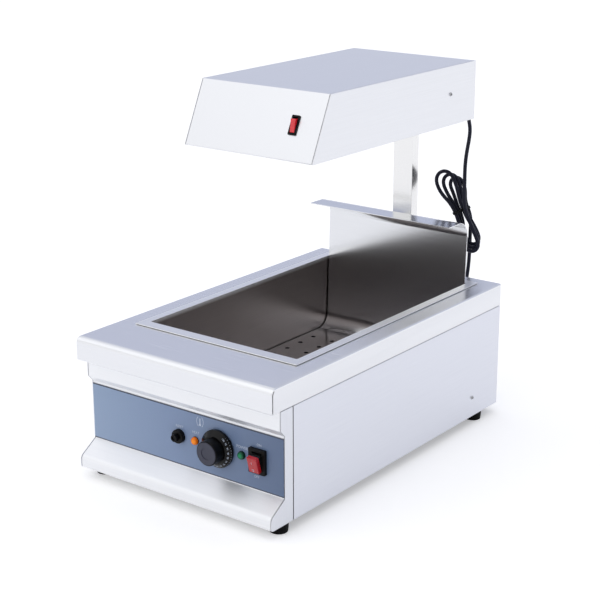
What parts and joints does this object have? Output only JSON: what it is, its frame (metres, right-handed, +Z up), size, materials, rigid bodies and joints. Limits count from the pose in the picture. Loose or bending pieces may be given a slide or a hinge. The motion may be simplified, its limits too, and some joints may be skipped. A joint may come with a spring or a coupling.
{
  "type": "chip scuttle",
  "caption": "Countertop chip scuttle: heated well with a lift-out perforated insert under a heat-lamp head on a rear post, with a thermostat knob, rocker switches and a reset.",
  "frame": {"origin": "on the table under the middle of the object's box, the lamp lead left out", "axes": "+Z up, -Y towards the operator, +X to the operator's right"},
  "size_m": [0.4044, 0.7169, 0.636],
  "materials": {
    "satin_stainless": "satin",
    "bright_stainless": "brushed",
    "zinc_sheet": "galvanised",
    "zinc_fastener": "zinc plated",
    "black_rubber": "matte",
    "heater_tube": "oxidised",
    "copper_tube": "bare copper",
    "white_ceramic": "unglazed",
    "polished_aluminium": "polished",
    "quartz": "clear",
    "panel_blue": "satin",
    "steel_shaft": "bright",
    "black_plastic": "moulded",
    "gloss_black": "glossy",
    "grey_plastic": "moulded",
    "orange_lens": "translucent",
    "green_lens": "translucent",
    "red_plastic": "glossy",
    "black_cord": "sheathed"
  },
  "bodies": {
    "base": {"deck_top": "satin_stainless", "front_fascia": "satin_stainless", "cheek_left": "satin_stainless", "cheek_right": "satin_stainless", "side_panel_left": "satin_stainless", "side_panel_right": "satin_stainless", "back_panel": "satin_stainless", "post": "satin_stainless", "head_cover": "satin_stainless", "head_side_left": "satin_stainless", "head_side_right": "satin_stainless", "head_base": "satin_stainless", "well_pan": "bright_stainless", "lamp_guard": "bright_stainless", "deck_rail_left": "zinc_sheet", "deck_rail_right": "zinc_sheet", "base_plate": "zinc_sheet", "heater_clamps": "zinc_sheet", "heat_shield": "zinc_sheet", "post_clamp": "zinc_sheet", "head_socket": "zinc_sheet", "foot_screws": "zinc_fastener", "side_screws": "zinc_fastener", "back_screws": "zinc_fastener", "post_bolts": "zinc_fastener", "head_screws": "zinc_fastener", "rubber_feet": "black_rubber", "well_gasket": "black_rubber", "well_heater": "heater_tube", "thermostat_bulb": "copper_tube", "lamp_holders": "white_ceramic", "terminal_block": "white_ceramic", "reflector": "polished_aluminium", "quartz_lamps": "quartz", "control_panel": "panel_blue", "thermostat_body": "black_plastic", "reset_cutout": "black_plastic", "reset_nut": "black_plastic", "heat_lamp_body": "black_plastic", "power_lamp_body": "black_plastic", "panel_switch_housing": "black_plastic", "head_switch_housing": "black_plastic", "mains_gland": "black_plastic", "head_gland": "black_plastic", "base_gland": "black_plastic", "lead_tie": "black_plastic", "heat_lamp_lens": "orange_lens", "power_lamp_lens": "green_lens", "lead_upper": "black_cord", "lead_hank": "black_cord", "lead_lower": "black_cord"},
    "insert": {"chip_insert": "bright_stainless"},
    "knob": {"thermostat_shaft": "steel_shaft", "dial_skirt": "gloss_black", "knob_grip": "black_plastic", "knob_cap": "grey_plastic"},
    "main_rocker": {"panel_rocker": "red_plastic"},
    "lamp_rocker": {"head_rocker": "red_plastic"},
    "reset": {"reset_button": "black_plastic"}
  },
  "joints": [
    {"name": "insert_lift", "type": "slide", "parent": "base", "child": "insert", "axis": [0, 0, 1], "range_m": [0, 0.15]},
    {"name": "knob_turn", "type": "hinge", "parent": "base", "child": "knob", "pos_m": [0.0712, -0.31, 0.11], "axis": [0, 1, 0], "range_deg": [0, 320]},
    {"name": "main_rocker_tilt", "type": "hinge", "parent": "base", "child": "main_rocker", "pos_m": [0.1495, -0.3118, 0.109], "axis": [-1, 0, 0], "range_deg": [0, 32]},
    {"name": "lamp_rocker_tilt", "type": "hinge", "parent": "base", "child": "lamp_rocker", "pos_m": [0.0767, -0.12214, 0.58508], "axis": [-1, 0, 0], "range_deg": [0, 34]},
    {"name": "reset_press", "type": "slide", "parent": "base", "child": "reset", "axis": [0, 1, 0], "range_m": [0, 0.0025], "stiffness_N_per_m": 500}
  ]
}
